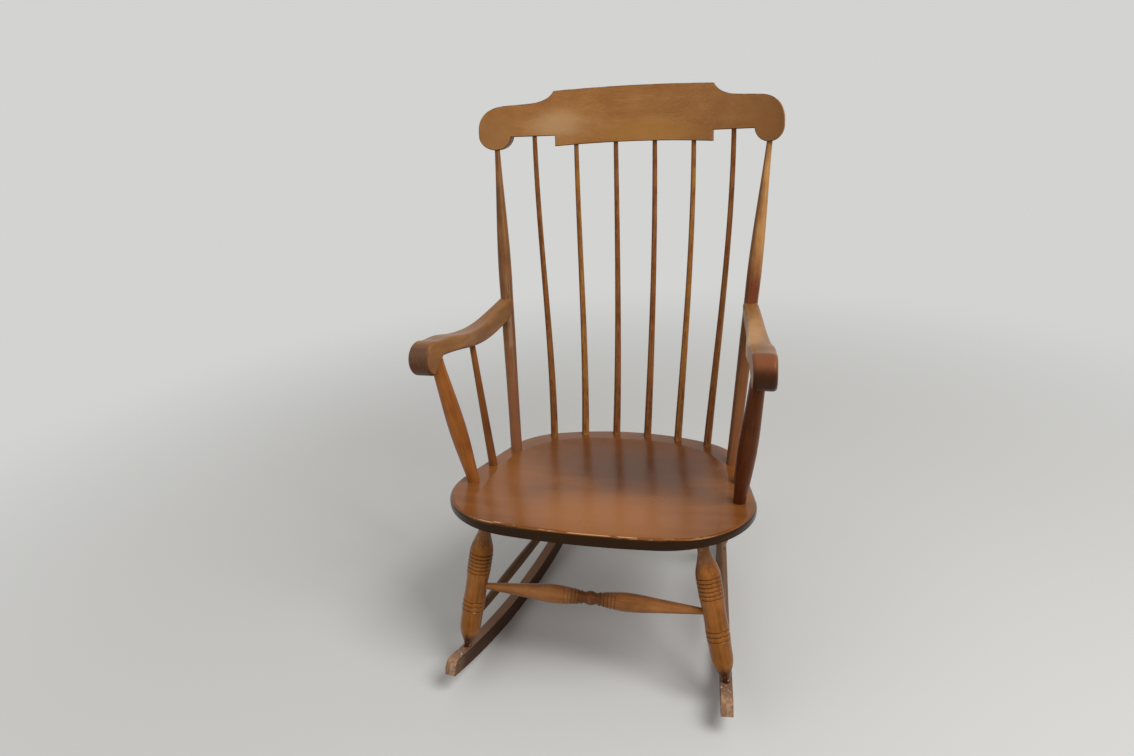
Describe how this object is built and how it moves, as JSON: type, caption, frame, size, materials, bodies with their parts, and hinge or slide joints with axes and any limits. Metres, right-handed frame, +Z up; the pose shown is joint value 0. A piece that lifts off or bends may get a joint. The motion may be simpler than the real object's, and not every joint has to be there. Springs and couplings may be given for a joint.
{
  "type": "rocking chair",
  "caption": "Wooden rocking chair with a saddled seat, shaped crest rail on bent spindles, scroll arms and turned legs on curved rockers",
  "frame": {"origin": "on the floor under the middle of the chair's outer box", "axes": "+Z up, -Y the way the chair faces, +X to the right as seen from the front"},
  "size_m": [0.6402, 0.7582, 1.0339],
  "materials": {
    "seat_wood": "stained brown, satin lacquer",
    "crest_wood": "stained brown, satin lacquer",
    "stretcher_wood": "stained brown, satin lacquer",
    "spindle_wood": "stained brown, satin lacquer",
    "rocker_wood": "stained and lacquered, worn bare at the tips",
    "leg_wood": "stained brown, satin lacquer",
    "post_wood": "stained brown, satin lacquer",
    "arm_wood": "stained brown, satin lacquer",
    "arm_post_wood": "stained brown, satin lacquer"
  },
  "bodies": {
    "root": {"arm_left": "arm_wood", "arm_post_left": "arm_post_wood", "arm_post_right": "arm_post_wood", "arm_right": "arm_wood", "arm_spindle_left": "spindle_wood", "arm_spindle_right": "spindle_wood", "back_post_left": "post_wood", "back_post_right": "post_wood", "back_spindle_1": "spindle_wood", "back_spindle_2": "spindle_wood", "back_spindle_3": "spindle_wood", "back_spindle_4": "spindle_wood", "back_spindle_5": "spindle_wood", "back_spindle_6": "spindle_wood", "crest_rail": "crest_wood", "front_leg_left": "leg_wood", "front_leg_right": "leg_wood", "front_stretcher": "stretcher_wood", "rear_leg_left": "leg_wood", "rear_leg_right": "leg_wood", "rear_stretcher": "stretcher_wood", "rocker_left": "rocker_wood", "rocker_right": "rocker_wood", "seat": "seat_wood", "side_stretcher_left": "stretcher_wood", "side_stretcher_right": "stretcher_wood"}
  },
  "joints": []
}
